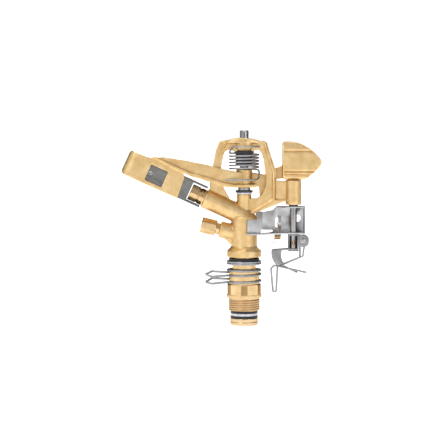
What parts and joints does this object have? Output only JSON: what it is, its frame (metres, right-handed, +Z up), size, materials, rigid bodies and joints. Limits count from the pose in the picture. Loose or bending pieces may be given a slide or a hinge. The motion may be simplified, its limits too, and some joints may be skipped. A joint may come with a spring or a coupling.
{
  "type": "impact sprinkler",
  "caption": "Brass part-circle impact sprinkler with sprung arm, reversing trip, wire stop collars and male threaded inlet.",
  "frame": {"origin": "on the head's turning axis, at the wrench hexagon's lower shoulder, where the inlet thread starts", "axes": "+Z up along the axis the head turns on, -X the way the jet leaves the main nozzle, -Y the side the arm swings out to first"},
  "size_m": [0.1672, 0.0321, 0.163],
  "materials": {
    "cast_brass": "rough cast, satin",
    "machined_brass": "turned, polished",
    "steel_sheet": "pressed stainless sheet, satin",
    "steel_wire": "drawn wire, bright",
    "steel_bar": "ground bar",
    "spring_brass": "drawn wire",
    "black_rubber": "matt moulded",
    "pale_plastic": "moulded",
    "black_plastic": "moulded"
  },
  "bodies": {
    "riser": {"bearing_nipple": "machined_brass", "thrust_washer_lower": "steel_sheet", "keeper_ring": "steel_wire"},
    "head": {"rotating_tube": "machined_brass", "tube_seal_lower": "black_rubber", "tube_slip_washer": "pale_plastic", "tube_seal_upper": "black_rubber", "thrust_washer_upper": "steel_sheet", "dust_seal": "black_rubber", "bearing_spring": "steel_wire", "body_casting": "cast_brass", "main_nozzle": "machined_brass", "stream_straightener": "black_plastic", "spreader_nozzle": "machined_brass", "fulcrum_pin": "steel_bar", "spring_sleeve": "black_plastic", "arm_slip_washer": "pale_plastic", "arm_friction_washer": "black_rubber", "arm_lift_collar": "pale_plastic", "trip_shaft": "steel_bar", "shaft_washer": "black_rubber", "shaft_clip": "steel_sheet"},
    "arm": {"arm_casting": "cast_brass", "arm_bush_lower": "black_plastic", "arm_bush_upper": "black_plastic", "jet_channel": "steel_sheet", "channel_rivet": "steel_bar", "arm_spring": "steel_wire"},
    "bracket": {"trip_bracket": "steel_sheet", "over_centre_spring": "spring_brass"},
    "lever": {"trip_lever": "steel_sheet", "finger_rivet": "steel_bar", "finger_spring": "spring_brass"},
    "finger": {"trip_finger": "steel_wire"},
    "upper_stop": {"stop_collar_upper": "steel_wire"},
    "lower_stop": {"stop_collar_lower": "steel_wire"}
  },
  "joints": [
    {"name": "head_turn", "type": "hinge", "parent": "riser", "child": "head", "pos_m": [0, 0, 0.03], "axis": [0, 0, 1], "range_deg": [-120, 120]},
    {"name": "arm_swing", "type": "hinge", "parent": "head", "child": "arm", "pos_m": [0, 0, 0.1], "axis": [0, 0, 1], "range_deg": [0, 120], "stiffness_Nm_per_rad": 0.04, "springref_deg": -28.65, "deforming": ["arm_spring"]},
    {"name": "lever_throw", "type": "hinge", "parent": "head", "child": "lever", "pos_m": [0.0413, 0, 0.046], "axis": [0, 0, -1], "range_deg": [0, 22]},
    {"name": "bracket_throw", "type": "hinge", "parent": "head", "child": "bracket", "pos_m": [0.0413, 0, 0.065], "axis": [0, 0, 1], "range_deg": [0, 6]},
    {"name": "finger_flip", "type": "hinge", "parent": "lever", "child": "finger", "pos_m": [0.0491, -0.0024, 0.0476], "axis": [0, -1, 0], "range_deg": [0, 90]},
    {"name": "upper_stop_turn", "type": "hinge", "parent": "riser", "child": "upper_stop", "pos_m": [0, 0, 0.02], "axis": [0, 0, 1], "range_deg": [-30, 30]},
    {"name": "lower_stop_turn", "type": "hinge", "parent": "riser", "child": "lower_stop", "pos_m": [0, 0, 0.0135], "axis": [0, 0, 1], "range_deg": [-30, 30]}
  ],
  "couplings": [
    {"joint": "bracket_throw", "follows": "lever_throw", "ratio": 0.27}
  ]
}
